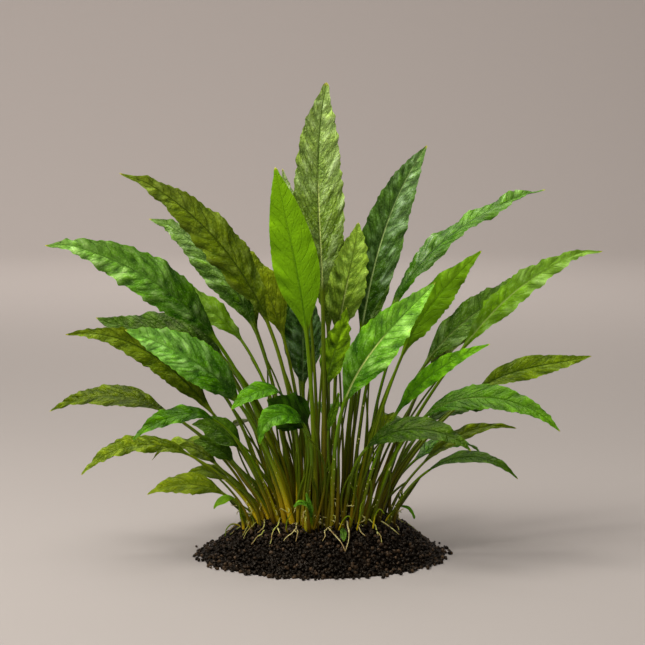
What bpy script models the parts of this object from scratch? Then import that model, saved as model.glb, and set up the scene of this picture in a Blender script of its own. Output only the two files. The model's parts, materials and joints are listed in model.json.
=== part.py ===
"""A cryptocoryne clump rooted in a heap of black aquarium soil.

Every leaf is one piece: a stalk that leaves the soil, and the blade that it becomes.
The stalk's foot stands in a socket of its own in the heap. Lengths in the tables are
millimetres; X runs to the right, Y away from the viewer, Z up, and the origin is the
middle of the heap's flat underside.
"""

import math
from typing import NamedTuple

import bmesh
import bpy
from mathutils import Vector

MM = 0.001
UP = Vector((0, 0, 1))

# The heap of soil
HEAP_RADIUS = 61.0
HEAP_HEIGHT = 21.0
HEAP_SHOULDER = 4.0  # higher keeps the top flat for longer
HEAP_FOOT = 1.6  # higher spreads the foot out thinner
HEAP_RINGS = 7
HEAP_SIDES = 32

# The stalks
STALK_RADIUS_LEAST = 0.6
STALK_RADIUS_PER_WIDTH = 0.04
STALK_FOOT_SWELL = 1.15  # a stalk is stouter at its foot than at the blade
STALK_DEPTH = 9.0  # how deep a foot stands in the soil
COLLAR_RISE = 2.0  # the collar is this far above the soil
STALK_RINGS = 4
SOCKET_GAP = 0.35

# The blades: half widths along the blade, as shares of the widest
BLADE_STATIONS = (0.07, 0.2, 0.38, 0.56, 0.73, 0.88, 1.0)
BLADE_SHARES = (0.34, 0.76, 1.0, 0.92, 0.66, 0.33, 0.05)
BLADE_THICKNESS = 0.8
EDGE_THICKNESS = 0.5
BLADE_FOLD = math.radians(11)  # how far each half rises from the midrib
RING_SIDES = 6
SHARP_ANGLE = math.radians(50)

# Colours of the materials, as the leaves and the soil look in daylight
FINISHES = {
    "leaf_mottled": ((0.16, 0.29, 0.07), 0.38),
    "leaf_young": ((0.17, 0.38, 0.02), 0.42),
    "leaf_bright": ((0.06, 0.31, 0.03), 0.30),
    "leaf_dark": ((0.03, 0.15, 0.03), 0.32),
    "leaf_olive": ((0.12, 0.17, 0.02), 0.40),
    "leaf_yellowing": ((0.26, 0.33, 0.05), 0.45),
    "soil": ((0.012, 0.010, 0.008), 0.85),
}


class Leaf(NamedTuple):
    """One leaf: where it leaves the soil, where its blade starts, and its tip."""

    name: str
    finish: str
    root: tuple  # x, y on the soil
    neck: tuple  # x, y, z where the stalk becomes the blade
    tip: tuple  # x, y, z
    rise: float  # how far the blade's middle arches above the line from neck to tip
    width: float
    facing: float  # degrees from facing up to facing the viewer, at the blade's middle


MIDDLE_LEAVES = (
    Leaf("leaf_tallest", "leaf_mottled", (1, -6), (0, -4, 133), (2, -4, 237), 3, 25, 88),
    Leaf("leaf_young_upright", "leaf_young", (-3, -29), (-8, -24, 116), (-23, -26, 196), 1, 25, 85),
    Leaf("leaf_short_upright", "leaf_mottled", (6, 3), (8, 6, 111), (18, 8, 167), 0, 20, 85),
    Leaf("leaf_tall_dark", "leaf_dark", (10, 14), (20, 16, 113), (53, 26, 205), 6, 22, 80),
    Leaf("leaf_dark_behind", "leaf_dark", (-8, 20), (-10, 26, 83), (-10, 30, 139), 0, 20, 80),
    Leaf("leaf_brown_tipped", "leaf_olive", (-2, 11), (-6, 8, 118), (-20, 6, 194), 1, 16, 82),
    Leaf("leaf_inner_green", "leaf_olive", (0, 1), (2, -1, 86), (12, -1, 125), 0, 14, 80),
    Leaf("leaf_inner_small", "leaf_dark", (6, -12), (3, -11, 64), (8, -12, 84), 0, 9, 75),
)

LEFT_LEAVES = (
    Leaf("leaf_left_long", "leaf_bright", (-15, -12), (-53, -22, 112), (-132, -46, 162), 9, 22, 62),
    Leaf("leaf_left_shaded", "leaf_young", (-12, -3), (-40, -2, 108), (-86, 6, 145), 1, 15, 60),
    Leaf("leaf_left_high", "leaf_olive", (-8, -13), (-27, -10, 118), (-97, -22, 194), 10, 22, 66),
    Leaf("leaf_left_high_inner", "leaf_yellowing", (-6, 6), (-20, 6, 111), (-41, 14, 156), 2, 15, 70),
    Leaf("leaf_left_high_rear", "leaf_dark", (-14, 6), (-35, 12, 115), (-87, 30, 168), 8, 18, 62),
    Leaf("leaf_left_dark", "leaf_dark", (-21, 5), (-51, 10, 99), (-116, 28, 117), 3, 18, 55),
    Leaf("leaf_left_olive", "leaf_olive", (-24, -5), (-57, -10, 76), (-126, -24, 114), 11, 15, 60),
    Leaf("leaf_left_glossy", "leaf_bright", (-15, -22), (-42, -32, 83), (-94, -58, 120), 5, 21, 62),
    Leaf("leaf_left_drooping", "leaf_olive", (-28, 0), (-79, 4, 72), (-139, 18, 70), 8, 13, 48),
    Leaf("leaf_left_front", "leaf_bright", (-22, -16), (-53, -26, 72), (-92, -48, 65), 7, 11, 42),
    Leaf("leaf_left_broad_short", "leaf_dark", (-19, -10), (-41, -15, 57), (-65, -14, 68), 3, 15, 50),
    Leaf("leaf_left_folded", "leaf_dark", (-27, -10), (-45, -9, 49), (-65, -5, 58), 3, 11, 55),
    Leaf("leaf_left_low_inner", "leaf_olive", (-33, 3), (-54, 2, 46), (-74, 10, 53), 3, 9, 55),
    Leaf("leaf_left_low_rear", "leaf_olive", (-34, 9), (-48, 10, 36), (-69, 18, 38), 3, 8, 55),
    Leaf("leaf_left_arching", "leaf_yellowing", (-31, -14), (-66, -16, 53), (-118, -34, 46), 10, 11, 45),
    Leaf("leaf_left_lowest", "leaf_yellowing", (-36, -5), (-50, -6, 32), (-88, -4, 31), 5, 12, 50),
    Leaf("leaf_left_seedling", "leaf_young", (-36, -13), (-44, -15, 31), (-54, -17, 26), 2, 5, 45),
    Leaf("leaf_front_left_upper", "leaf_bright", (-12, -17), (-20, -22, 84), (-44, -46, 80), 5, 11, 42),
    Leaf("leaf_front_left_broad", "leaf_bright", (-10, -24), (-9, -34, 69), (-27, -46, 85), 2, 20, 75),
    Leaf("leaf_front_left_lower", "leaf_bright", (-8, -31), (-9, -42, 72), (-30, -60, 65), 10, 13, 45),
)

RIGHT_LEAVES = (
    Leaf("leaf_right_narrow", "leaf_bright", (14, 5), (36, 8, 126), (113, 30, 183), 10, 14, 26),
    Leaf("leaf_right_upper", "leaf_young", (17, -15), (41, -18, 107), (77, -34, 156), 3, 14, 66),
    Leaf("leaf_front_bright", "leaf_bright", (4, -29), (11, -36, 83), (54, -50, 142), 4, 21, 75),
    Leaf("leaf_right_long", "leaf_young", (24, -6), (70, -10, 106), (134, -34, 158), 7, 15, 60),
    Leaf("leaf_right_rear", "leaf_dark", (19, 10), (54, 16, 97), (107, 36, 141), 2, 16, 62),
    Leaf("leaf_right_olive", "leaf_olive", (29, 6), (79, 12, 82), (138, 30, 97), 3, 13, 56),
    Leaf("leaf_right_arching", "leaf_bright", (25, -14), (50, -18, 72), (115, -44, 69), 13, 15, 48),
    Leaf("leaf_right_front", "leaf_bright", (18, -23), (36, -28, 75), (80, -56, 113), 5, 13, 44),
    Leaf("leaf_right_inner", "leaf_olive", (15, -5), (24, -7, 56), (36, -5, 73), 1, 10, 60),
    Leaf("leaf_right_thin", "leaf_olive", (33, 3), (51, 8, 45), (99, 20, 61), 7, 10, 42),
    Leaf("leaf_front_right_drooping", "leaf_dark", (10, -25), (21, -36, 59), (71, -60, 62), 10, 16, 40),
    Leaf("leaf_right_lowest", "leaf_dark", (33, -11), (52, -12, 44), (96, -28, 43), 9, 10, 28),
)

REAR_LEAVES = (
    Leaf("leaf_rear_middle", "leaf_mottled", (3, 19), (3, 33, 112), (2, 70, 188), 6, 18, 20),
    Leaf("leaf_rear_left_tall", "leaf_dark", (-6, 28), (-13, 38, 100), (-18, 84, 158), 7, 19, 20),
    Leaf("leaf_rear_right_tall", "leaf_dark", (12, 26), (23, 36, 106), (38, 78, 164), 7, 16, 20),
    Leaf("leaf_rear_left_high", "leaf_olive", (-15, 19), (-34, 24, 112), (-64, 52, 150), 4, 17, 25),
    Leaf("leaf_rear_right_high", "leaf_bright", (20, 17), (38, 30, 105), (70, 60, 134), 4, 15, 25),
    Leaf("leaf_rear_left_broad", "leaf_bright", (-21, 13), (-56, 28, 104), (-98, 58, 132), 6, 18, 30),
    Leaf("leaf_rear_right_broad", "leaf_olive", (26, 13), (56, 34, 90), (100, 64, 124), 7, 18, 30),
    Leaf("leaf_rear_left_arching", "leaf_dark", (-27, 12), (-50, 30, 76), (-98, 62, 98), 8, 19, 30),
    Leaf("leaf_rear_right_arching", "leaf_dark", (31, 10), (54, 30, 62), (104, 66, 72), 3, 16, 30),
    Leaf("leaf_rear_middle_low", "leaf_bright", (3, 33), (2, 58, 60), (6, 112, 56), 6, 16, 10),
    Leaf("leaf_rear_left_low", "leaf_olive", (-17, 28), (-28, 48, 56), (-52, 96, 48), 5, 16, 15),
    Leaf("leaf_rear_right_low", "leaf_dark", (20, 27), (28, 50, 56), (54, 98, 50), 5, 16, 15),
    Leaf("leaf_rear_left_lowest", "leaf_yellowing", (-28, 21), (-48, 36, 42), (-90, 60, 38), 9, 13, 20),
    Leaf("leaf_rear_right_lowest", "leaf_bright", (29, 20), (48, 36, 42), (86, 64, 38), 9, 13, 20),
)


def clear_scene():
    for item in list(bpy.data.objects):
        bpy.data.objects.remove(item, do_unlink=True)


def new_collection(name):
    made = bpy.data.collections.new(name)
    bpy.context.scene.collection.children.link(made)
    return made


def new_material(name):
    colour, roughness = FINISHES[name]
    made = bpy.data.materials.new(name)
    made.use_nodes = True
    shader = made.node_tree.nodes["Principled BSDF"]
    shader.inputs["Base Color"].default_value = (*colour, 1.0)
    shader.inputs["Roughness"].default_value = roughness
    shader.inputs["Metallic"].default_value = 0.0
    return made


def heap_height(x, y):
    """Height of the heap's surface above its underside."""
    out = min(1.0, math.hypot(x, y) / HEAP_RADIUS)
    return HEAP_HEIGHT * (1.0 - out**HEAP_SHOULDER) ** HEAP_FOOT


def cubic(start, first, second, end, share):
    """The point a share of the way along a cubic curve."""
    rest = 1 - share
    return rest**3 * start + 3 * rest**2 * share * first + 3 * rest * share**2 * second + share**3 * end


def midline(leaf):
    """The leaf's middle line from foot to tip, and how much of it belongs to the stalk."""
    neck, tip = Vector(leaf.neck), Vector(leaf.tip)
    ground = Vector((*leaf.root, heap_height(*leaf.root)))
    chord = tip - neck
    middle = (neck + tip) / 2 + chord.cross(UP).cross(chord).normalized() * leaf.rise
    straight = (neck - ground).normalized()
    sprouting = (straight * 0.6 + UP * 0.4).normalized()
    bending = (straight + (middle - neck).normalized()).normalized()

    foot = ground - sprouting * STALK_DEPTH
    collar = ground + sprouting * COLLAR_RISE
    pull = (neck - collar).length * 0.35
    stalk = (collar, collar + sprouting * pull, neck - bending * pull, neck)
    first = neck + bending * (middle - neck).length * 2 / 3
    second = (8 * middle - neck - tip - 3 * first) / 3  # this takes the curve through the middle
    blade = (neck, first, second, tip)
    on_stalk = [foot] + [cubic(*stalk, i / (STALK_RINGS - 1)) for i in range(STALK_RINGS)]
    on_blade = [cubic(*blade, station) for station in BLADE_STATIONS]
    return on_stalk + on_blade, len(on_stalk)


def directions(points):
    """The direction of travel at each point of a line."""
    found = []
    for i in range(len(points)):
        ahead = points[min(i + 1, len(points) - 1)]
        behind = points[max(i - 1, 0)]
        found.append((ahead - behind).normalized())
    return found


def square_to(direction, vector):
    """The part of a vector that is square to a direction, at length 1."""
    return (vector - direction * vector.dot(direction)).normalized()


def carried(side, before, after):
    """A side direction carried from one direction of travel to the next."""
    return square_to(after, before.rotation_difference(after) @ side)


def upper_sides(leaf, travel, stalk_count):
    """Which way the upper side faces at each ring: set at the blade's widest, and carried along untwisted."""
    widest = stalk_count + BLADE_SHARES.index(max(BLADE_SHARES))
    facing = math.radians(leaf.facing)
    sides = [None] * len(travel)
    sides[widest] = square_to(travel[widest], Vector((0, -math.sin(facing), math.cos(facing))))
    for i in range(widest + 1, len(travel)):
        sides[i] = carried(sides[i - 1], travel[i - 1], travel[i])
    for i in range(widest - 1, -1, -1):
        sides[i] = carried(sides[i + 1], travel[i + 1], travel[i])
    return sides


def round_ring(centre, upper, across, radius):
    """Six points round the stalk: upper left, top, upper right, lower right, bottom, lower left."""
    corners = (150, 90, 30, -30, -90, -150)
    return [
        centre + radius * (math.cos(math.radians(a)) * across + math.sin(math.radians(a)) * upper)
        for a in corners
    ]


def blade_ring(centre, upper, across, half_width, thickness):
    """The same six points where the section is a shallow fold, thinner at its edges."""
    raised = centre + upper * half_width * math.sin(BLADE_FOLD)
    reach = across * half_width * math.cos(BLADE_FOLD)
    edge = upper * EDGE_THICKNESS / 2
    rib = upper * thickness / 2
    return [
        raised - reach + edge,
        centre + rib,
        raised + reach + edge,
        raised + reach - edge,
        centre - rib,
        raised - reach - edge,
    ]


def loft(name, rings, collection):
    """A closed solid through rings that each have the same number of points."""
    mesh = bpy.data.meshes.new(name)
    form = bmesh.new()
    made = [[form.verts.new(point * MM) for point in ring] for ring in rings]
    for lower, upper in zip(made, made[1:]):
        for i in range(RING_SIDES):
            j = (i + 1) % RING_SIDES
            form.faces.new((lower[i], lower[j], upper[j], upper[i]))
    form.faces.new(made[0][::-1])
    form.faces.new(made[-1])
    bmesh.ops.triangulate(form, faces=form.faces)
    bmesh.ops.recalc_face_normals(form, faces=form.faces)
    form.to_mesh(mesh)
    form.free()
    mesh.shade_smooth()
    mesh.set_sharp_from_angle(angle=SHARP_ANGLE)
    solid = bpy.data.objects.new(name, mesh)
    collection.objects.link(solid)
    return solid


def leaf_rings(leaf):
    """The sections of a leaf, foot to tip."""
    points, stalk_count = midline(leaf)
    travel = directions(points)
    upper = upper_sides(leaf, travel, stalk_count)
    radius = STALK_RADIUS_LEAST + STALK_RADIUS_PER_WIDTH * leaf.width
    rings = []
    for i, point in enumerate(points):
        across = travel[i].cross(upper[i])
        if i < stalk_count:
            swell = STALK_FOOT_SWELL + (1 - STALK_FOOT_SWELL) * i / (stalk_count - 1)
            rings.append(round_ring(point, upper[i], across, radius * swell))
        else:
            station = BLADE_STATIONS[i - stalk_count]
            half_width = leaf.width / 2 * BLADE_SHARES[i - stalk_count]
            rib = (2 * radius - BLADE_THICKNESS) * (1 - station) ** 4
            rings.append(blade_ring(point, upper[i], across, half_width, BLADE_THICKNESS + rib))
    return rings


def build_leaf(leaf, collection, materials):
    solid = loft(leaf.name, leaf_rings(leaf), collection)
    solid.data.materials.append(materials[leaf.finish])


def build_socket(leaf, cutters):
    """The hole in the soil that the stalk's foot stands in, a gap wider all round."""
    foot, collar = leaf_rings(leaf)[:2]
    foot_centre, collar_centre = (sum(ring, Vector()) / RING_SIDES for ring in (foot, collar))
    along = (collar_centre - foot_centre).normalized()
    rings = []
    for ring, centre, push in ((foot, foot_centre, -SOCKET_GAP), (collar, collar_centre, COLLAR_RISE)):
        rings.append([point + (point - centre).normalized() * SOCKET_GAP + along * push for point in ring])
    socket = loft(f"socket_{leaf.name}", rings, cutters)
    socket.hide_render = True
    socket.display_type = "WIRE"


def build_heap(collection, cutters, materials):
    """The heap of soil: a turned dome with a flat underside, and a socket for each stalk."""
    profile = [(0.0, HEAP_HEIGHT)]
    for i in range(1, HEAP_RINGS + 1):
        out = HEAP_RADIUS * math.sin(math.pi / 2 * i / HEAP_RINGS)
        profile.append((out, heap_height(out, 0)))
    profile.append((0.0, 0.0))
    mesh = bpy.data.meshes.new("soil_heap")
    edges = [(i, i + 1) for i in range(len(profile) - 1)]
    mesh.from_pydata([(out * MM, 0, up * MM) for out, up in profile], edges, [])
    heap = bpy.data.objects.new("soil_heap", mesh)
    collection.objects.link(heap)
    turn = heap.modifiers.new("turn", "SCREW")
    turn.steps = HEAP_SIDES
    turn.render_steps = HEAP_SIDES
    turn.use_merge_vertices = True
    turn.merge_threshold = 1e-5
    cut = heap.modifiers.new("sockets", "BOOLEAN")
    cut.operation = "DIFFERENCE"
    cut.operand_type = "COLLECTION"
    cut.collection = cutters
    mesh.materials.append(materials["soil"])


def main():
    clear_scene()
    plant = new_collection("cryptocoryne")
    cutters = new_collection("socket_cutters")
    materials = {name: new_material(name) for name in FINISHES}
    leaves = [*MIDDLE_LEAVES, *LEFT_LEAVES, *RIGHT_LEAVES, *REAR_LEAVES]
    for leaf in leaves:
        build_leaf(leaf, plant, materials)
        build_socket(leaf, cutters)
    build_heap(plant, cutters, materials)
    cutters.hide_render = True


main()
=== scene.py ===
"""The looks of a cryptocoryne clump rooted in a heap of black aquarium soil.

Each leaf of the frame is replaced by a finer one along the same line: a round stalk that opens into
a thin blade with a midrib, side veins, puckers and a ruffled margin. The heap is replaced by a bed of
soil with thousands of grains on it, and young shoots, sprouts, thin strands and pale roots are added
where the clump has them. Lengths in the code are millimetres, and meshes are made in metres.
"""

import json
import math
from typing import NamedTuple

import bmesh
import bpy
import numpy as np
from bpy.props import FloatProperty, FloatVectorProperty, IntProperty, PointerProperty
from bpy.types import Operator, Panel, PropertyGroup
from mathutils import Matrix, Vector

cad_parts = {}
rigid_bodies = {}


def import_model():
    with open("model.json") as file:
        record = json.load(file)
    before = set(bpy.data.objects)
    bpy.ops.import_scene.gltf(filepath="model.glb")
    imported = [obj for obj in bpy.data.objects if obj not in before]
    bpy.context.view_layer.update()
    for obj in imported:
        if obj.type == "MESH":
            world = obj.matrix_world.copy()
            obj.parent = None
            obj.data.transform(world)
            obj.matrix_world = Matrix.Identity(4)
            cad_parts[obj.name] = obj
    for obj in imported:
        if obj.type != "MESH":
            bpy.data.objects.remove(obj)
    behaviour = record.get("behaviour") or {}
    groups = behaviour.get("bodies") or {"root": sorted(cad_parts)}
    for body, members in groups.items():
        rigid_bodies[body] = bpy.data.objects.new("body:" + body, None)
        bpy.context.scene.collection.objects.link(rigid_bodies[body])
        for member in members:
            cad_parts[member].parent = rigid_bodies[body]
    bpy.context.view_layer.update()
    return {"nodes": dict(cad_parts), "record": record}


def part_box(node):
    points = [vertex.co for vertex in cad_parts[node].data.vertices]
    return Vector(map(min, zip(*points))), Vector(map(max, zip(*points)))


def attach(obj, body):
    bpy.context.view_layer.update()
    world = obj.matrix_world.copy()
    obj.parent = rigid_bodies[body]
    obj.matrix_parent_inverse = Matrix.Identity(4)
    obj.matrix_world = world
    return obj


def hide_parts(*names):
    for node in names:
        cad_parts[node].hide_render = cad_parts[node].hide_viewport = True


bl_info = {
    "name": "Cryptocoryne clump",
    "version": (1, 0, 0),
    "blender": (4, 5, 0),
    "location": "3D View > Sidebar > Cryptocoryne",
    "description": "Grows a clump of ruffled water plant leaves on a heap of soil grains",
    "category": "Add Mesh",
}

for item in list(bpy.data.objects):
    bpy.data.objects.remove(item, do_unlink=True)
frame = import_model()

MM = 0.001
SLOTS = {row["node"]: row["material_slot"] for row in frame["record"]["subparts"]}
SOIL_NODE = "soil_heap"
SOIL_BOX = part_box(SOIL_NODE)
SOIL_RADIUS = SOIL_BOX[1].x / MM
LEAF_NAMES = sorted(name for name in frame["nodes"] if name != SOIL_NODE)

# How the frame's leaves are made up, foot first
RING_CORNERS = 6
STALK_RINGS = 5
BLADE_RINGS = 7
WIDEST_RING = 7
STALK_ROWS = 22  # rows of faces along a fine stalk
WELD = 0.01
FRAME_FOLD = math.radians(11)
NARROW = 1.4  # a section with a half width under this is too round to show which way it faces
TIP_HALF = 0.12  # half the width at a leaf's very tip
LEAST_ROWS = 12  # rows of faces along the shortest blade
FRONT_STALKS = 34  # how many stalks, from the front, carry rootlets and nubs


class Habit(NamedTuple):
    """How one leaf's blade grew. Lengths are millimetres, and the rest are shares."""

    ruffle: float = 0.4  # height of the margin's ruffles
    pitch: float = 8.0  # from one ruffle to the next
    sway: float = 0.3  # how far each half waves over its whole length
    pucker: float = 0.25  # how far the blade bulges between two side veins
    veins: float = 6.0  # from one side vein to the next
    bloom_and_sheen: float = 0.0  # strength of the pale patches: real bloom, and painted sheen on raised ridges and towards the tip
    warmth: float = 0.0  # from -1, bluish, to 1, yellow
    light: float = 1.0  # brightness against the finish's own colours: partly the leaf's own tone, partly painted light and shade for how lit the leaf stands
    half_painted_light: float = 0.0  # painted light: how much lighter one half is painted than the other, for the half that faces the light
    rib: float = -0.3  # the midrib near the stalk: from -1, a dark line, to 1, a pale one
    rib_tip: float = -0.3  # the same near the tip
    fold: float = 16.0  # degrees that each half rises from the midrib
    blunt: float = 0.7  # half the width just before the tip
    base: float = 0.8  # width near the stalk against an evenly rounded base
    full: float = -0.12  # extra width near the tip
    slim: float = 1.0  # width against the frame's
    hook: tuple = (0.0, 0.0, 0.0)  # how far the tip curls away
    shade: float = 0.0  # painted shade: how much darker the blade is painted near its stalk
    mottle: float = 1.0  # contrast of the blotches against the finish's own


HABITS = {
    "leaf_tallest": Habit(
        0.5, 5.0, 0.35, 0.34, 4.6, 0.7, light=1.38, half_painted_light=0.15, rib=1.0, rib_tip=-0.8, blunt=2.2, full=0.25,
    ),
    "leaf_young_upright": Habit(
        0.12, 9.0, 0.1, 0.03, 6.5, 0.0, light=1.12, rib=-0.6, blunt=1.4, full=0.05, slim=0.9, fold=8.0,
    ),
    "leaf_short_upright": Habit(
        0.5, 6.5, 0.3, 0.45, 5.0, 0.12, 0.0, 2.5, rib=0.5, shade=0.7, blunt=1.4, full=0.2, slim=0.95,
    ),
    "leaf_tall_dark": Habit(
        0.45, 7.0, 0.4, 0.36, 5.5, 0.36, -0.25, 1.08, 0.25, rib=0.9, rib_tip=0.4, full=0.15, blunt=1.0,
    ),
    "leaf_dark_behind": Habit(0.3, 6.0, 0.3, 0.6, bloom_and_sheen=0.4, warmth=-0.4, light=0.7, rib=0.3),
    "leaf_brown_tipped": Habit(bloom_and_sheen=1.0, light=1.3),
    "leaf_inner_green": Habit(0.5, 6.0, pucker=0.5, warmth=-0.4, light=2.0, rib=0.1),
    "leaf_inner_small": Habit(0.2, warmth=0.2, light=1.2, base=0.5, slim=0.5),
    "leaf_left_long": Habit(
        0.8, 9.0, 0.8, 0.3, 6.0, 0.4, 0.05, 1.24, -0.15, rib=-0.2, blunt=0.8, hook=(-1.0, 0.0, -2.5),
        shade=0.5,
    ),
    "leaf_left_shaded": Habit(
        0.9, 9.0, 0.5, 0.35, bloom_and_sheen=0.3, warmth=0.1, light=0.66, base=0.6, slim=0.85, mottle=2.2, full=-0.3,
    ),
    "leaf_left_high": Habit(
        1.0, 9.5, 0.9, 0.28, 7.0, 0.12, 0.1, 1.08, 0.1, rib=-0.6, rib_tip=-0.6, base=0.6, slim=0.88,
        hook=(-2.0, 0.0, -1.0),
    ),
    "leaf_left_high_inner": Habit(0.5, 9.0, bloom_and_sheen=0.06, warmth=0.2, light=0.85),
    "leaf_left_high_rear": Habit(
        0.7, 8.0, 0.6, 0.4, bloom_and_sheen=0.3, light=1.15, slim=1.15, hook=(-1.5, 0.0, -0.5),
    ),
    "leaf_left_dark": Habit(0.4, 7.0, 0.6, 0.3, bloom_and_sheen=0.06, warmth=-0.1, light=0.62, slim=1.2),
    "leaf_left_olive": Habit(
        0.8, 9.0, 0.6, 0.18, 7.0, 0.05, 0.1, 1.0, -0.35, rib=-0.7, rib_tip=-0.6, base=1.1,
    ),
    "leaf_left_glossy": Habit(
        0.6, 7.0, 0.4, 0.36, 4.4, 0.34, -0.1, 1.95, rib=-0.2, rib_tip=0.1, blunt=1.0, base=1.1, full=0.05,
        shade=0.6,
    ),
    "leaf_left_drooping": Habit(
        0.5, 8.0, 0.4, 0.3, warmth=0.1, light=0.62, half_painted_light=0.2, rib_tip=0.0, mottle=1.4,
    ),
    "leaf_left_front": Habit(0.4, 8.0, 0.4, 0.22, light=0.64),
    "leaf_left_broad_short": Habit(bloom_and_sheen=0.03, light=0.7),
    "leaf_left_folded": Habit(light=0.7),
    "leaf_left_low_inner": Habit(light=0.75),
    "leaf_left_low_rear": Habit(light=0.9),
    "leaf_left_arching": Habit(0.7, 9.0, 0.4, 0.3, bloom_and_sheen=0.06, light=0.7, half_painted_light=0.2, mottle=1.6),
    "leaf_left_lowest": Habit(0.4, 8.0, pucker=0.2, warmth=0.1, light=0.78),
    "leaf_left_seedling": Habit(0.1, pucker=0.1, light=0.8, rib=0.0),
    "leaf_front_left_upper": Habit(0.3, 6.0, 0.2, 0.2, bloom_and_sheen=0.03, light=1.0),
    "leaf_front_left_broad": Habit(0.5, 7.0, 0.3, 0.35, warmth=-0.4, light=0.33, rib=-0.6),
    "leaf_front_left_lower": Habit(0.3, 7.0, 0.2, 0.25, bloom_and_sheen=0.05, warmth=-0.1, light=0.82),
    "leaf_right_narrow": Habit(
        1.3, 12.0, 1.3, 0.25, bloom_and_sheen=0.25, light=0.75, half_painted_light=-0.3, rib=-0.4, base=1.5, full=0.0, slim=0.95,
        blunt=0.9, hook=(0.6, 0.0, -0.6),
    ),
    "leaf_right_upper": Habit(
        0.4, 9.0, 0.4, 0.22, bloom_and_sheen=0.03, light=0.84, half_painted_light=-0.8, fold=22.0, blunt=0.9, base=1.1, slim=1.12,
        mottle=1.8,
    ),
    "leaf_front_bright": Habit(
        0.4, 8.0, 0.3, 0.28, 4.8, 0.26, 0.0, 2.02, 0.15, rib=0.6, rib_tip=-0.4, fold=20.0, shade=0.3,
        mottle=0.8,
    ),
    "leaf_right_long": Habit(
        0.8, 9.0, 0.6, 0.28, 5.5, 0.35, light=0.88, half_painted_light=0.15, mottle=2.6, rib=0.4, rib_tip=0.1, slim=0.9,
        hook=(1.5, 0.0, -2.2),
    ),
    "leaf_right_rear": Habit(0.7, 10.0, 0.6, 0.2, bloom_and_sheen=0.2, light=1.6, rib=0.2, base=1.1),
    "leaf_right_olive": Habit(0.35, 7.0, 0.3, 0.14, bloom_and_sheen=0.03, light=1.15, rib=-0.7, rib_tip=-0.6),
    "leaf_right_arching": Habit(
        0.45, 7.0, 0.4, 0.2, bloom_and_sheen=0.06, warmth=0.15, light=0.82, rib=0.2, mottle=0.7,
    ),
    "leaf_right_front": Habit(0.2, 7.0, 0.2, 0.14, bloom_and_sheen=0.03, warmth=0.12, light=1.0, slim=0.92, mottle=0.6),
    "leaf_right_inner": Habit(light=0.7),
    "leaf_right_thin": Habit(0.25, warmth=0.1, light=0.8, slim=0.8),
    "leaf_front_right_drooping": Habit(0.3, 7.0, pucker=0.26, light=0.55),
    "leaf_right_lowest": Habit(0.25, 6.0, pucker=0.12, warmth=-0.05, light=0.8),
}
REAR_HABIT = Habit(0.7, 8.0, 0.5, 0.35, bloom_and_sheen=0.08, light=0.85)

# Pale roots over the front of the heap, as x and y on the soil
FRONT_ROOTS = (
    ((-36, -8), (-38, -15), (-40, -21)),
    ((-33, -13), (-37, -18), (-39, -24)),
    ((-29, -13), (-29, -21), (-32, -26)),
    ((-29, -26), (-32, -29), (-35, -32)),
    ((-21, -15), (-22, -24), (-25, -33), (-26, -39)),
    ((-22, -28), (-21, -33)),
    ((-13, -31), (-15, -35), (-19, -39)),
    ((-10, -20), (-13, -29), (-12, -35), (-13, -41)),
    ((-6, -22), (-9, -30)),
    ((-1, -22), (2, -29), (1, -36), (0, -42)),
    ((-2, -24), (2, -30), (6, -38), (11, -47)),
    ((12, -24), (13, -35), (11, -47)),
    ((17, -22), (18, -28), (21, -35)),
    ((23, -16), (26, -22), (27, -28), (29, -35)),
    ((29, -14), (33, -18), (38, -21)),
    ((33, -8), (37, -12), (38, -17)),
)

# Small leaves at the clump's foot: the finish, half the width, and a line whose third point is the neck
SPROUTS = {
    "sprout_right": ("leaf_bright", 1.1, (
        (33.0, -4, 19.0), (35.5, -4, 23.0), (38.0, -5, 25.2), (40.6, -5, 25.2), (43.4, -5, 24.2),
        (45.2, -6, 21.6), (46.2, -6, 19.0),
    )),
    "sprout_front_low": ("leaf_bright", 1.9, (
        (-5.6, -31, 18.5), (-5.7, -33, 22.0), (-5.8, -35, 25.0), (-6.6, -36.5, 29.0), (-8.6, -38.5, 32.6),
        (-11.2, -40, 33.4), (-14.0, -42, 31.6),
    )),
    "sprout_front_upright": ("leaf_bright", 1.3, (
        (-4.9, -31, 18.5), (-5.1, -33, 22.0), (-5.4, -34.5, 25.0), (-5.6, -35, 28.0), (-6.2, -36, 31.5),
        (-7.2, -36, 34.5), (-8.1, -36, 37.5),
    )),
    "sprout_soil": ("leaf_dark", 1.6, (
        (9.6, -31, 18.0), (9.6, -33, 19.8), (9.8, -35, 20.0), (10.0, -37.5, 19.2), (10.2, -40, 17.6),
        (10.3, -42, 16.2), (10.4, -43.5, 15.0),
    )),
}
SPROUT_STALK = 0.5  # radius of a sprout's stalk
SPROUT_HABIT = Habit(0.15, 5.0, 0.1, 0.2, 3.0, 0.1, light=0.9, base=1.0, full=0.0)

# Thin bent strands near them
STRANDS = (
    ((8.0, -35, 19.0), (9.4, -38, 23.0), (10.5, -39, 25.2), (12.9, -40, 26.9), (14.2, -41, 24.6)),
    ((16.9, -31, 18.0), (18.4, -34, 26.3), (18.9, -33, 31.0), (20.6, -33, 33.8)),
    ((24.9, -26, 18.0), (26.5, -26, 25.5), (28.3, -27, 27.9), (30.6, -28, 25.6)),
    ((-40.0, -5, 14.0), (-42.6, -6, 16.0), (-45.6, -7, 16.5), (-48.1, -8, 14.2), (-48.8, -10, 11.0)),
    ((31.0, -9, 17.5), (34.0, -9, 22.0), (37.2, -9, 24.4), (39.5, -9, 22.8)),
    ((-17.0, -30, 16.5), (-17.8, -35, 20.0), (-17.0, -36, 24.5), (-15.4, -37, 27.5)),
)


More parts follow.
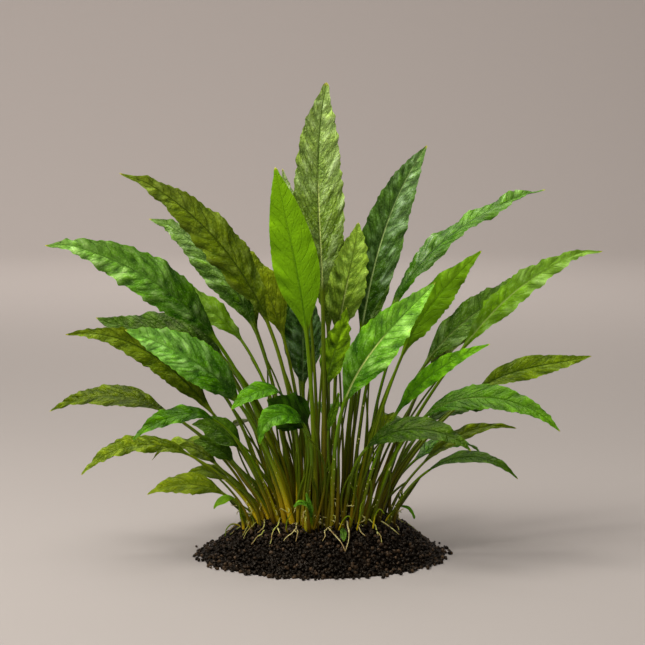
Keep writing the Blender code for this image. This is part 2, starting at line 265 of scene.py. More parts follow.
def length(name, description, default, least=0.0):
    """A setting that is a length, given here in millimetres."""
    return FloatProperty(
        name=name, description=description, default=default * MM, min=least * MM, subtype="DISTANCE",
    )


def number(name, description, default, least=0):
    return IntProperty(name=name, description=description, default=default, min=least)


def power(name, description, default):
    return FloatProperty(name=name, description=description, default=default, min=0.0, subtype="POWER")


def colour(name, description, default):
    return FloatVectorProperty(
        name=name, description=description, default=default, min=0.0, max=1.0, subtype="COLOR",
    )


class LeafSettings(PropertyGroup):
    """Sizes that all the leaves share."""

    step: length("Step", "Length of one row of faces along a blade", 0.9, 0.4)
    thickness: length("Blade thickness", "Thickness of the blade beside its midrib", 0.42, 0.1)
    margin: length("Margin thickness", "Thickness of the blade at its edge", 0.16, 0.05)
    arch: FloatProperty(
        name="Arch", description="How far a half falls back at its margin, as a share of its width",
        default=0.16, min=0.0, max=1.0, subtype="FACTOR",
    )


class LeafColours(PropertyGroup):
    """The colours that the leaf finishes share, and the two greens of each."""

    # painted sheen: this pale colour is also painted as sheen on raised ridges and towards the tip of a blade
    bloom_and_sheen: colour("Bloom and sheen", "Pale patches on the upper side of a blade", (0.36, 0.47, 0.21))
    rib: colour("Pale midrib", "A midrib that shows as a pale line", (0.50, 0.60, 0.16))
    stalk: colour("Stalk", "A stalk's upper part", (0.075, 0.125, 0.001))
    stalk_foot: colour("Stalk's foot", "A stalk just above the soil", (0.60, 0.38, 0.007))
    stalk_brown: colour("Stalk's brown", "Streaks of brown at the foot of a stalk", (0.13, 0.05, 0.003))


# Each finish's darkest and lightest green
GREENS = {
    "mottled": ((0.085, 0.155, 0.008), (0.22, 0.335, 0.022)),
    "young": ((0.12, 0.28, 0.002), (0.19, 0.40, 0.004)),
    "bright": ((0.022, 0.105, 0.002), (0.15, 0.40, 0.002)),
    "dark": ((0.022, 0.070, 0.002), (0.10, 0.215, 0.003)),
    "olive": ((0.045, 0.085, 0.001), (0.18, 0.265, 0.003)),
    "yellowing": ((0.11, 0.18, 0.002), (0.28, 0.38, 0.005)),
}
for kind, greens in GREENS.items():
    for shade, value in zip(("deep", "light"), greens):
        label, use = f"{kind.capitalize()}, {shade}", f"The {shade} parts of the {kind} leaves"
        LeafColours.__annotations__[f"{kind}_{shade}"] = colour(label, use, value)


class SoilSettings(PropertyGroup):
    """The heap of soil and its grains."""

    grain_least: length("Smallest grain", "Diameter of the smallest grains", 1.25, 0.5)
    grain_most: length("Largest grain", "Diameter of the largest grains", 2.25, 0.5)
    grains: number("Grains", "How many grains cover the heap", 5100, 10)
    loose: number("Loose grains", "How many more lie on top of them", 460)
    strays: number("Stray grains", "How many lie round the foot of the heap", 250)
    black: colour("Black", "Most of the grains", (0.0008, 0.0005, 0.0003))
    brown: colour("Brown", "The lightest grains", (0.105, 0.063, 0.033))


class RootSettings(PropertyGroup):
    """The pale roots on the soil, and the young growth at the foot of the clump."""

    diameter: length("Root diameter", "Thickness of a root where it leaves the clump", 0.9, 0.2)
    rear_roots: number("Other roots", "Roots round the sides and the back", 22)
    rootlets: number("Rootlets", "Short curled roots on the feet of the stalks", 70)
    nubs: number("Nubs", "Pale specks on the stalks", 170)
    shoots: number("Shoots", "Young shoots between the stalks", 200)
    colour: colour("Root", "Colour of the roots", (0.62, 0.55, 0.22))


class StageSettings(PropertyGroup):
    """The camera, the lights, and the backdrop."""

    target_height: length("Target height", "Height above the floor that the camera looks at", 117.5)
    distance: length("Camera distance", "From the camera to what it looks at", 1200, 100)
    elevation: FloatProperty(
        name="Camera elevation", description="How far above level the camera stands",
        default=math.radians(6), subtype="ANGLE",
    )
    field: length("Width in view", "What the camera sees across at that distance", 322.5, 10)
    key: power("Key light", "The light above, in front and to the left", 10.5)
    top: power("Top light", "The large soft light overhead", 6.5)
    fill: power("Fill light", "The soft light in front", 7.0)
    wall: power("Wall light", "The light on the paper far behind the clump", 21.0)
    back: power("Back light", "The soft light on the floor behind the clump", 13.5)
    room: FloatProperty(
        name="Room light", description="Strength of the light from all round", default=0.06, min=0.0,
    )
    backdrop: colour("Backdrop", "Colour of the paper sweep", (0.356, 0.319, 0.293))


def smoothstep(value, low, high):
    """0 below low, 1 above high, and an S-shaped climb between them."""
    share = np.clip((value - low) / (high - low), 0.0, 1.0)
    return share * share * (3 - 2 * share)


def unit(vectors):
    return vectors / np.linalg.norm(vectors, axis=-1, keepdims=True)


def through(points, samples=400):
    """A smooth line through points, closely sampled, and how far along it each of the points is."""
    points = np.asarray(points, float)
    knots = np.concatenate([[0.0], np.cumsum(np.linalg.norm(np.diff(points, axis=0), axis=1))])
    slopes = np.gradient(points, knots, axis=0)
    at = np.linspace(0.0, knots[-1], samples)
    piece = np.clip(np.searchsorted(knots, at, side="right") - 1, 0, len(points) - 2)
    span = (knots[piece + 1] - knots[piece])[:, None]
    share = (at - knots[piece])[:, None] / span
    line = (
        (2 * share**3 - 3 * share**2 + 1) * points[piece]
        + (share**3 - 2 * share**2 + share) * span * slopes[piece]
        + (3 * share**2 - 2 * share**3) * points[piece + 1]
        + (share**3 - share**2) * span * slopes[piece + 1]
    )
    along = np.concatenate([[0.0], np.cumsum(np.linalg.norm(np.diff(line, axis=0), axis=1))])
    return line, along, np.interp(knots, at, along)


def at_lengths(line, along, lengths):
    return np.stack([np.interp(lengths, along, line[:, axis]) for axis in range(3)], axis=1)


def carried(travel, first, start):
    """A direction square to the line, carried along it untwisted from where it is known."""
    sides = np.zeros_like(travel)
    sides[start] = unit(first - travel[start] * (first @ travel[start]))
    for i in range(start + 1, len(travel)):
        sides[i] = unit(sides[i - 1] - travel[i] * (sides[i - 1] @ travel[i]))
    for i in range(start - 1, -1, -1):
        sides[i] = unit(sides[i + 1] - travel[i] * (sides[i + 1] @ travel[i]))
    return sides


def new_object(name, points, faces, material):
    """A mesh object from points in millimetres, shaded smooth."""
    mesh = bpy.data.meshes.new(name)
    mesh.from_pydata((np.asarray(points) * MM).tolist(), [], faces)
    mesh.shade_smooth()
    mesh.materials.append(material)
    made = bpy.data.objects.new(name, mesh)
    bpy.context.scene.collection.objects.link(made)
    return made


def paint(made, name, *columns):
    """Stores one number, or a vector of three, for every point, for the material to read."""
    kind, field = ("FLOAT", "value") if len(columns) == 1 else ("FLOAT_VECTOR", "vector")
    layer = made.data.attributes.new(name, kind, "POINT")
    layer.data.foreach_set(field, np.stack(columns, axis=-1).astype(np.float32).ravel())


def ring_quads(rows, around):
    """The quads between rows of corners, each of which goes once around."""
    i, j = np.divmod(np.arange((rows - 1) * around), around)
    start, k = i * around, (j + 1) % around
    return np.stack([start + j, start + k, start + around + k, start + around + j], axis=-1)


def tube_faces(rows, around, first=0):
    """The faces of a closed tube whose corners start at first: its quads, and a cap at both ends."""
    foot, top = first + np.arange(around), first + (rows - 1) * around + np.arange(around)
    return (first + ring_quads(rows, around)).tolist() + [foot[::-1].tolist(), top.tolist()]


def ball(subdivisions, radius):
    """The corners and the triangles of a ball."""
    form = bmesh.new()
    bmesh.ops.create_icosphere(form, subdivisions=subdivisions, radius=radius)
    corners = np.array([corner.co for corner in form.verts])
    triangles = np.array([[corner.index for corner in face.verts] for face in form.faces])
    form.free()
    return corners, triangles


def copied(triangles, corners, count):
    """The triangles of count copies of a shape, whose corners follow one another."""
    return (triangles[None] + corners * np.arange(count)[:, None, None]).reshape(-1, 3).tolist()


def polar(out, turn):
    """The x and y of a place this far from the middle, in the direction of the turn."""
    return out * np.cos(turn), out * np.sin(turn)


def in_scene(piece, slot_name, *nodes):
    """Ties a finished piece to the frame: its body, and the nodes it stands for, which it hides. The slot
    name is not used.
    """
    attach(piece, "root")
    if nodes:
        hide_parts(*nodes)


def heap_height(x, y):
    """Height of the heap's surface above the floor."""
    shoulder, foot = 4.0, 1.6
    out = np.minimum(1.0, np.hypot(x, y) / SOIL_RADIUS)
    return SOIL_BOX[1].z / MM * (1.0 - out**shoulder) ** foot


def sections(node):
    """The corners of a frame leaf's sections in millimetres, foot first."""
    form = bmesh.new()
    form.from_mesh(node.data)
    bmesh.ops.remove_doubles(form, verts=form.verts, dist=WELD * MM)
    form.verts.index_update()
    ring = sorted(form.verts, key=lambda corner: corner.co.z)[:RING_CORNERS]
    seen, found = set(ring), []
    while ring:
        found.append(np.array([corner.co for corner in ring]) / MM)
        beyond = {edge.other_vert(corner) for corner in ring for edge in corner.link_edges} - seen
        ring = sorted(beyond, key=lambda corner: corner.index)
        seen |= beyond
    form.free()
    if [len(ring) for ring in found] != [RING_CORNERS] * (STALK_RINGS + BLADE_RINGS):
        raise RuntimeError(f"{node.name} isn't a leaf of {STALK_RINGS + BLADE_RINGS} sections")
    return found


class Course(NamedTuple):
    """A leaf's line and how it faces, at each row of its faces."""

    line: np.ndarray
    upper: np.ndarray
    across: np.ndarray
    length: np.ndarray  # from the neck, negative on the stalk
    share: np.ndarray  # -1 at the foot, 0 at the neck, 1 at the tip
    half: np.ndarray  # half the width
    rib: np.ndarray  # radius of the stalk, and of the midrib that it becomes


def course_through(points, neck, widest, upper, halves, radius, habit, step, stalk_rows):
    """Rows along a smooth line through points, whose half widths are known at each of them."""
    line, along, knots = through(points)
    blade = knots[-1] - knots[neck]
    rows = max(LEAST_ROWS, round(blade / step))
    stops = np.concatenate([
        np.linspace(0.0, knots[neck], stalk_rows, endpoint=False),
        knots[neck] + blade * np.linspace(0.0, 1.0, rows),
    ])
    placed = at_lengths(line, along, stops)
    travel = unit(np.gradient(placed, stops, axis=0))
    start = int(np.argmin(abs(stops - knots[widest])))
    uppers = carried(travel, upper, start)
    length = stops - knots[neck]
    share = np.where(length < 0, length / knots[neck], length / blade)
    widths = through([(knot, half, 0.0) for knot, half in zip(knots, halves)])[0]
    half = np.interp(stops, widths[:, 0], widths[:, 1])
    least = np.interp(
        share, (-1.0, -0.9, -0.7, -0.3, 0.0, 0.5, 1.0),
        (radius * 1.05, radius * 1.12, radius * 0.84, radius * 0.66, radius * 0.62, radius * 0.34, 0.1),
    )
    near_tip = 1 + habit.full * smoothstep(share, 0.55, 0.88)
    shaped = half * habit.slim * near_tip * (habit.base + (1 - habit.base) * smoothstep(share, 0.0, 0.3))
    rounded = habit.blunt * np.sqrt(np.clip(1 - (np.maximum(share - 0.95, 0.0) / 0.05) ** 2, 0.0, 1.0))
    shaped = np.where(share > 0.8, np.maximum(shaped * (share < 0.985), rounded), shaped)
    half = np.where(share < 0, least, np.maximum(shaped, least))
    placed = placed + smoothstep(share, 0.86, 1.0)[:, None] ** 1.5 * np.array(habit.hook)
    return Course(placed, uppers, np.cross(travel, uppers), length, share, half, least)


def frame_course(node, habit, settings):
    """The course of a leaf of the frame."""
    rings = sections(node)
    centres, halves, upper = [], [], None
    middles = np.array([ring.mean(0) for ring in rings])
    travel = unit(np.gradient(middles, axis=0))
    for i, ring in enumerate(rings):
        spokes = ring - middles[i]
        spokes -= np.outer(spokes @ travel[i], travel[i])
        if i < STALK_RINGS:
            centres.append(middles[i])
            halves.append(np.linalg.norm(spokes, axis=1).mean())
            continue
        across = np.linalg.svd(spokes)[2][0]
        reach = spokes @ across
        half = abs(reach).max() / math.cos(FRAME_FOLD)
        order = np.argsort(abs(reach))
        centre = ring[order[:2]].mean(0)
        if i == WIDEST_RING:
            upper = unit(ring[order[2:]].mean(0) - centre)
        centres.append(middles[i] if half < NARROW else centre)
        halves.append(half)
    halves[-1] = TIP_HALF
    neck = STALK_RINGS - 1
    step = settings.step / MM
    return course_through(
        centres, neck, WIDEST_RING, upper, halves, halves[neck], habit, step, STALK_ROWS,
    )


def waves(rng, count, least, most, fan=math.pi):
    """A smooth random function of two lengths, from about -1 to 1, with waves of the given lengths.

    The waves travel along the first length, give or take half the angle of their fan.
    """
    turn = rng.uniform(-fan / 2, fan / 2, count)
    number = 2 * math.pi / rng.uniform(least, most, count)
    start = rng.uniform(0, 2 * math.pi, count)

    def height(along, across):
        total = 0.0
        for a, n, s in zip(turn, number, start):
            total = total + np.sin(n * (math.cos(a) * along + math.sin(a) * across) + s)
        return total / math.sqrt(count)

    return height


class Skin(NamedTuple):
    """What sets a leaf finish apart, besides its colours."""

    sweep: float  # how far a side vein climbs for its way outwards
    quilting: float  # how much the blade swells between two side veins
    roughness: float
    veined: float  # how strongly the side veins show
    blotched: float  # the same for the blotches
    speckled: float  # and for the speckles
    wet: float  # how wet the upper side looks


SKINS = {
    "leaf_mottled": Skin(1.5, 0.2, 0.40, 0.40, 0.9, 1.1, 0.35),
    "leaf_young": Skin(1.0, 0.5, 0.42, 0.32, 0.3, 0.15, 0.1),
    "leaf_bright": Skin(1.1, 0.45, 0.26, 0.45, 0.3, 0.45, 1.0),
    "leaf_dark": Skin(1.25, 0.35, 0.26, 0.36, 0.5, 0.65, 1.0),
    "leaf_olive": Skin(1.3, 0.3, 0.32, 0.42, 0.7, 0.55, 0.5),
    "leaf_yellowing": Skin(1.2, 0.3, 0.34, 0.42, 0.9, 0.65, 0.4),
}
VEIN_CURVE = 0.65  # how much more a side vein climbs near the margin
NICKS = 0.35  # depth of the small nicks in a margin
SHARP = 100  # degrees between two faces that makes their edge a knife edge


def foot_painted_light(foot, left):
    """How light a stalk's foot is painted: painted shade makes it darker the further back it stands in the
    clump, lightest in front, and by as much as left lighter on the left.
    """
    painted_depth_shade = np.interp(foot[1], (-30.0, -18.0, -6.0, 20.0), (0.66, 0.43, 0.24, 0.15))
    return painted_depth_shade + left * np.clip(-foot[0] / 28 - 0.1, 0.0, 1.0)


def build_leaf(name, course, habit, settings, slot_name, material, number):
    """One leaf: a closed tube of rows, round along the stalk and flat along the blade."""
    rng = np.random.default_rng(number)
    broadest = course.half.max()
    columns = 21 if broadest > 6 else 13
    spread = np.linspace(-1, 1, columns)
    open_ = smoothstep(course.share, 0.0, 0.12)[:, None]
    share_out = (1 - open_) * np.sin(spread * math.pi / 2) + open_ * np.sign(spread) * abs(spread) ** 1.1
    edge = abs(share_out)
    sweep, quilting = SKINS[slot_name][:2]

    # A row of faces climbs outwards as the side veins do, but less so near the blade's two ends
    swept = smoothstep(course.share, 0.0, 0.3) * smoothstep(1 - course.share, 0.0, 0.42)
    most = min(sweep * broadest, 0.13 * course.length[-1])
    along = course.length[:, None] + most * edge * (1 + VEIN_CURVE * edge) * swept[:, None]
    line, upper, sideways = (
        np.stack([np.interp(along, course.length, table[:, axis]) for axis in range(3)], axis=-1)
        for table in (course.line, course.upper, course.across)
    )
    half, rib, share = (
        np.interp(along, course.length, table) for table in (course.half, course.rib, course.share)
    )
    open_ = smoothstep(share, 0.0, 0.12)
    tapered = smoothstep(share, 0.03, 0.16) * smoothstep(1 - share, 0.0, 0.14)
    out = half * share_out
    reach = abs(out)

    def apart(distance):
        """Takes the two halves of the blade from places this far apart in the waves, so that they differ."""
        return np.where(out < 0, 0.0, distance)

    climb = sweep * reach * (1 + VEIN_CURVE * reach / broadest)
    wander = waves(rng, 6, broadest * 1.6, broadest * 4.0)
    rooted = along - climb + habit.veins * 0.4 * wander(along + apart(90.0), reach)
    veins = rooted / habit.veins

    # Ruffles and sways of the margin, and domes between the side veins
    folded = waves(rng, 8, habit.pitch * 0.8, habit.pitch * 2.6, 1.1)
    eased = along - 0.45 * climb + apart(170.0)
    crests = tapered * edge**1.4 * folded(eased, out)
    frilled = tapered * edge**2.5 * folded(eased + habit.pitch * 0.3, out)
    starts = np.where(out < 0, rng.uniform(0, 6), rng.uniform(0, 6))
    sways = habit.sway * tapered * edge * np.sin(2 * math.pi * along / (habit.pitch * 3.7) + starts)
    between = 0.4 - 0.6 * np.cos(2 * math.pi * veins)
    bulge = np.clip(4 * edge * (1 - edge), 0, 1) ** 0.5 * (1 - 0.35 * edge)
    patchy = np.maximum(0.1, 0.65 + 0.8 * waves(rng, 6, 8.0, 20.0)(along, out))
    blisters = waves(rng, 16, 3.2, 10.0)(eased + 0.2 * climb, out)
    domes = tapered * bulge * (quilting * between * patchy + 0.8 * blisters)
    cupped = open_ * (math.tan(math.radians(habit.fold)) * reach - settings.arch * reach**2 / broadest)
    lift = cupped + habit.ruffle * crests + sways + habit.pucker * domes
    relief = 0.6 * crests + domes * min(1.0, habit.pucker * 2.0)

    nicked = tapered * edge**5 * waves(rng, 5, 2.6, 6.5, 0.2)(along + apart(60.0), out)
    ragged = 0.6 * habit.ruffle * frilled + NICKS * min(1.0, habit.ruffle * 2.0) * nicked
    scalloped = out * (1 + ragged / np.maximum(half, 2.0))
    lamina = (settings.margin + (settings.thickness - settings.margin) * (1 - edge**2)) / MM / 2
    lamina = lamina * np.minimum(1.0, half / 1.5)
    bulk = np.sqrt(np.maximum(0.0, rib**2 - out**2))
    above = np.maximum(lamina * open_, bulk * (1 - 0.82 * open_))
    below = np.maximum(lamina * open_, bulk * (1 - 0.25 * open_))

    def place(height):
        return line + sideways * scalloped[:, :, None] + upper * (lift + height)[:, :, None]

    def around(first, second):
        """Values of the upper side, and of the lower side back again."""
        return np.concatenate([first, second[:, -2:0:-1]], axis=1)

    def both(values):
        return around(values, values)

    loop = around(place(above), place(-below))
    rows, corners = loop.shape[:2]
    made = new_object(name, loop.reshape(-1, 3), tube_faces(rows, corners), material)
    made.data.set_sharp_from_angle(angle=math.radians(SHARP))

    plain = np.ones((rows, corners))
    ribs = habit.rib + (habit.rib_tip - habit.rib) * smoothstep(share, 0.42, 0.66)
    # painted light and shade: one half painted lighter than the other, the blade painted darker near its
    # stalk, and its pale patches stronger on the lighter half
    painted_light_by_half = habit.half_painted_light * np.tanh(out / 1.5)
    light = habit.light * (1 + 0.4 * painted_light_by_half) * (1 - habit.shade * (1 - smoothstep(share, 0.05, 0.7)))
    bloom_and_sheen = habit.bloom_and_sheen * np.maximum(0.0, 1 + painted_light_by_half)
    foot = course.line[0]
    warmth = np.clip(0.5 - foot[0] / 55 + 0.25 * math.sin(number * 2.4), 0.2, 1.0)
    paint(made, "pattern", both(along - 0.22 * climb + apart(170.0)), both(out), plain * number * 37.0)
    paint(made, "spot", both(share), both(share_out), around(np.ones_like(out), np.zeros_like(out)))
    paint(made, "veins", both(veins), both(ribs), both(relief))
    # tone: pale patches with painted sheen, the leaf's warmth, and its brightness with painted light and
    # shade
    paint(made, "tone", both(bloom_and_sheen), plain * habit.warmth, both(light))
    # foot: the stalk's own warmth, its painted light and shade by where it stands in the clump, and the
    # blotches' contrast
    paint(made, "foot", plain * warmth, plain * foot_painted_light(foot, 1.5), plain * habit.mottle)
    unwrap(made.data, rows, corners)
    return made


def unwrap(mesh, rows, around):
    """Lays a closed tube flat, one row of its faces after another."""
    unwrapped = mesh.uv_layers.new(name="OFBake")
    i, j = np.divmod(np.arange((rows - 1) * around), around)
    corners = np.stack([
        np.stack([i, i, i + 1, i + 1], axis=-1) / (rows - 1),
        np.stack([j, j + 1, j + 1, j], axis=-1) / around,
    ], axis=-1).reshape(-1, 2)
    ends = np.array([[end, c / around] for end in (0.0, 1.0) for c in range(around)])
    flat = 0.01 + 0.98 * np.concatenate([corners, ends])
    unwrapped.uv.foreach_set("vector", flat.astype(np.float32).ravel())


class Wire:
    """A socket of a material's nodes. Python's operators on it add Math nodes."""

    def __init__(self, finish, socket):
        self.finish = finish
        self.socket = socket

    def math(self, operation, *values):
        sockets = dict(enumerate((self, *values)))
        return self.finish.node("ShaderNodeMath", {"operation": operation}, sockets)

    def __add__(self, other):
        return self.math("ADD", other)

    __radd__ = __add__

    def __mul__(self, other):
        return self.math("MULTIPLY", other)

    __rmul__ = __mul__

    def __sub__(self, other):
        return self.math("SUBTRACT", other)

    def __rsub__(self, other):
        return self.finish.node("ShaderNodeMath", {"operation": "SUBTRACT"}, {0: other, 1: self})

    def __abs__(self):
        return self.math("ABSOLUTE")

    def clamped(self):
        return self.finish.node("ShaderNodeClamp", {}, {"Value": self})

    def smooth(self, low, high):
        """0 where this is under low, 1 where it is over high."""
        settings = {"interpolation_type": "SMOOTHSTEP"}
        return self.finish.node("ShaderNodeMapRange", settings, {"Value": self, 1: low, 2: high})


class Finish:
    """A material while it is made: its nodes, and the wires between them."""

    def __init__(self, name):
        self.material = bpy.data.materials.new(name)
        self.material.use_nodes = True
        self.tree = self.material.node_tree
        self.tree.nodes.clear()

    def node(self, kind, settings, values, output=0):
        made = self.tree.nodes.new(kind)
        for key, value in settings.items():
            setattr(made, key, value)
        for key, value in values.items():
            if isinstance(value, Wire):
                self.tree.links.new(value.socket, made.inputs[key])
            else:
                made.inputs[key].default_value = value
        return Wire(self, made.outputs[output])

    def attribute(self, name, output="Vector"):
        return self.node("ShaderNodeAttribute", {"attribute_name": name}, {}, output)

    def position(self):
        return self.node("ShaderNodeNewGeometry", {}, {}, "Position")

    def parts(self, vector):
        made = self.node("ShaderNodeSeparateXYZ", {}, {0: vector})
        return [Wire(self, socket) for socket in made.socket.node.outputs]

    def stretched(self, vector, factors):
        return self.node("ShaderNodeVectorMath", {"operation": "MULTIPLY"}, {0: vector, 1: factors})

    def times(self, vector, factor):
        """A vector or a colour, scaled by one number."""
        return self.node("ShaderNodeVectorMath", {"operation": "SCALE"}, {0: vector, "Scale": factor})

    def noise(self, vector, scale, detail, roughness):
        """Noise whose scale is one number, or one for each axis."""
        if isinstance(scale, tuple):
            vector, scale = self.stretched(vector, scale), 1.0
        values = {"Vector": vector, "Scale": scale, "Detail": detail, "Roughness": roughness}
        return self.node("ShaderNodeTexNoise", {}, values)

    def warped(self, vector, scale, amount):
        """The vector, pushed aside by as much as amount in a smooth random way."""
        values = {"Vector": vector, "Scale": scale, "Detail": 2.0}
        noise = self.node("ShaderNodeTexNoise", {}, values, output="Color")
        aside = self.times(noise, amount)
        return self.node("ShaderNodeVectorMath", {"operation": "ADD"}, {0: vector, 1: aside})

    def mix(self, factor, first, second, blend="MIX"):
        settings = {"data_type": "RGBA", "blend_type": blend}
        return self.node("ShaderNodeMix", settings, {0: factor, 6: first, 7: second}, output=2)

    def bump(self, height, distance, strength):
        values = {"Height": height, "Distance": distance * MM, "Strength": strength}
        return self.node("ShaderNodeBump", {}, values, output="Normal")

    def finished(self, values):
        shader = self.node("ShaderNodeBsdfPrincipled", {}, values)
        made = self.tree.nodes.new("ShaderNodeOutputMaterial")
        self.tree.links.new(shader.socket, made.inputs["Surface"])
        return self.material


def opaque(colour, tint=(1.0, 1.0, 1.0)):
    """A colour for a socket, with its red, green and blue multiplied by the tint's."""
    return (*(value * factor for value, factor in zip(colour, tint)), 1.0)


STALK_SHINE = 0.22  # weight of the clear coat on the stalks


def leaf_finish(slot_name, colours):
    """A leaf's skin: a mottled blade with veins, a midrib and pale waxy patches that are partly painted
    sheen, with painted shade in the hollows of its relief and near the stalk, and a stalk browner downwards
    with painted shade lower down.
    """
    kind = slot_name.removeprefix("leaf_")
    deep, light = getattr(colours, f"{kind}_deep"), getattr(colours, f"{kind}_light")
    vein_green = opaque(deep, (0.6, 0.7, 0.6))
    skin = SKINS[slot_name]
    finish = Finish(slot_name)
    pattern = finish.attribute("pattern")
    out = abs(finish.parts(pattern)[1])
    share, share_out, upper = finish.parts(finish.attribute("spot"))
    veins, rib, relief = finish.parts(finish.attribute("veins"))
    bloom_and_sheen, warmth, tone_and_painted_light = finish.parts(finish.attribute("tone"))
    foot_warmth, foot_painted_shade, mottle = finish.parts(finish.attribute("foot"))
    edge = abs(share_out)
    blade = share.smooth(0.0, 0.05)

    # Irregular cells between the side veins, and the veins' own dark lines
    blotches = finish.noise(pattern, (0.27, 0.33, 1.0), 4.0, 0.62)
    patches = finish.noise(pattern, (0.09, 0.16, 1.3), 2.0, 0.5)
    speckle = finish.noise(pattern, (1.0, 1.1, 1.0), 3.0, 0.65)
    crazed = finish.warped(finish.stretched(pattern, (0.42, 0.5, 1.0)), 0.9, 0.9)
    settings = {"feature": "DISTANCE_TO_EDGE"}
    to_border = finish.node("ShaderNodeTexVoronoi", settings, {"Vector": crazed, "Scale": 1.0})
    domed = to_border.smooth(0.0, 0.35)
    net = (1 - to_border.smooth(0.0, 0.13)) * (1 - edge.smooth(0.75, 1.0))
    from_vein = veins.math("PINGPONG", 0.5)
    broken = blotches.smooth(0.36, 0.6)
    vein_line = (1 - from_vein.smooth(0.0, 0.10)) * out.smooth(0.3, 1.0)
    vein_line = vein_line * (1 - edge.smooth(0.7, 0.98)) * broken

    # The green of the blade, from deep to light
    crisp = blotches.smooth(0.32, 0.68) - 0.5
    lighter = crisp * 0.75 * skin.blotched + (speckle - 0.5) * 1.1 * skin.speckled
    # painted light and shade: relief * 0.42 lightens the ridges of the relief and darkens its hollows; share
    # * 0.42 lightens the blade towards its tip, partly its own colour and partly painted light
    lighter = lighter * mottle + relief * 0.42
    lighter = lighter + 0.16 + share * 0.42
    # painted shade: dark blotches along the margin, where its ruffles turn away from the light
    lighter = lighter - edge.smooth(0.6, 1.0) * blotches.smooth(0.48, 0.6) * 0.35 * skin.blotched
    colour = finish.mix(lighter.clamped(), opaque(deep), opaque(light))
    colour = finish.mix(net * (0.35 * skin.speckled), colour, opaque(deep, (0.75, 0.85, 0.7)))
    colour = finish.mix(vein_line * skin.veined, colour, vein_green)

    # Pale waxy patches and flecks on the upper side: partly the leaf's own waxy coat and partly painted
    # sheen, heavier on raised ridges and towards the tip
    raised = relief.smooth(-0.2, 0.6) * 0.85 + 0.15
    patched = (patches * 0.6 + blotches * 0.3 + speckle * 0.25).smooth(0.48, 0.68) * upper * raised
    pale = (patched + share.smooth(0.2, 0.9) * upper * 0.35) * bloom_and_sheen
    colour = finish.mix(pale * 0.8, colour, opaque(colours.bloom_and_sheen))
    flecks = speckle.smooth(0.55, 0.70) * upper * (bloom_and_sheen * 0.7 + 0.03)
    colour = finish.mix(flecks, colour, opaque(colours.bloom_and_sheen))

    # The midrib, the rim and the underside
    rib_width = 0.42 - 0.30 * share
    rib_line = (1 - (out - rib_width).smooth(-0.12, 0.16)) * blade
    rib_colour = finish.mix(rib.smooth(-0.2, 0.2), vein_green, opaque(colours.rib))
    colour = finish.mix(rib_line * abs(rib).smooth(0.0, 0.9), colour, rib_colour)
    colour = finish.mix(edge.smooth(0.94, 1.0) * 0.3, colour, opaque(light))
    colour = finish.mix((1 - upper) * 0.3, colour, opaque(light, (0.95, 0.9, 1.1)))

    # The leaf's own warmth; its brightness, partly its own tone and partly painted light and shade (the
    # lighter half, painted shade near the stalk and in the hollows of its relief); and its tip
    warm = finish.mix(1.0, colour, (1.55, 1.12, 0.6, 1.0), "MULTIPLY")
    cool = finish.mix(1.0, colour, (0.5, 0.95, 1.6, 1.0), "MULTIPLY")
    colour = finish.mix(warmth.math("MAXIMUM", 0.0), colour, warm)
    colour = finish.mix((warmth * -1.0).math("MAXIMUM", 0.0), colour, cool)
    # painted shade and light: darker in the hollows of the relief and lighter on its ridges, and darker near
    # the stalk
    painted_relief_shade = (relief * 0.42 + 1.0).math("MAXIMUM", 0.45)
    colour = finish.times(colour, tone_and_painted_light * painted_relief_shade * (share.smooth(-0.1, 0.5) * 0.45 + 0.55))
    colour = finish.mix(share.smooth(0.978, 0.996) * 0.7, colour, opaque(colours.rib, (1.0, 0.75, 0.3)))

    # The stalk, from its own green through gold to brown at the foot, with painted shade on its lower part
    # that darkens the stalks further back in the clump
    streaks = finish.noise(pattern, (0.05, 1.8, 1.0), 3.0, 0.6)
    foot = 1 - (share + streaks * 0.4).smooth(-0.85, -0.1)
    stalk_light = opaque(light, (0.8, 0.75, 0.5))
    stalk = finish.mix(streaks.smooth(0.3, 0.7) * 0.6, opaque(colours.stalk), stalk_light)
    stalk = finish.mix(foot * foot_warmth, stalk, opaque(colours.stalk_foot))
    brown = (1 - (share + streaks * 0.5).smooth(-0.92, -0.55)) * foot_warmth
    stalk = finish.mix(brown * 0.55, stalk, opaque(colours.stalk_brown))
    # painted shade and light on the lower stalk, fading out towards the neck
    stalk = finish.times(stalk, (foot_painted_shade - 1) * (1 - share.smooth(-0.95, -0.1)) + 1)
    colour = finish.mix(blade, stalk, colour)

    # How rough, how uneven and how wet the skin is
    roughness = skin.roughness + (speckle - 0.5) * 0.3 + pale * 0.14
    roughness = roughness + (1 - upper) * 0.12 - patched * 0.12 * skin.wet
    cells = domed * (0.15 + 0.4 * skin.speckled) * blade * (1 - vein_line)
    height = cells - vein_line * skin.veined * 1.6 + speckle * 0.55 * skin.speckled + streaks * 0.25
    wet = (patched * 0.8 + relief.smooth(0.3, 1.0) * upper * 0.5) * bloom_and_sheen.smooth(0.0, 0.5) * skin.wet
    return finish.finished({
        "Base Color": colour,
        "Roughness": roughness,
        "Normal": finish.bump(height, 0.5, 0.9),
        "Specular IOR Level": 0.13,
        "Specular Tint": (0.95, 1.0, 0.35, 1.0),
        "Coat Weight": wet * blade + (1 - blade) * STALK_SHINE,
        "Coat Roughness": 0.14,
    })


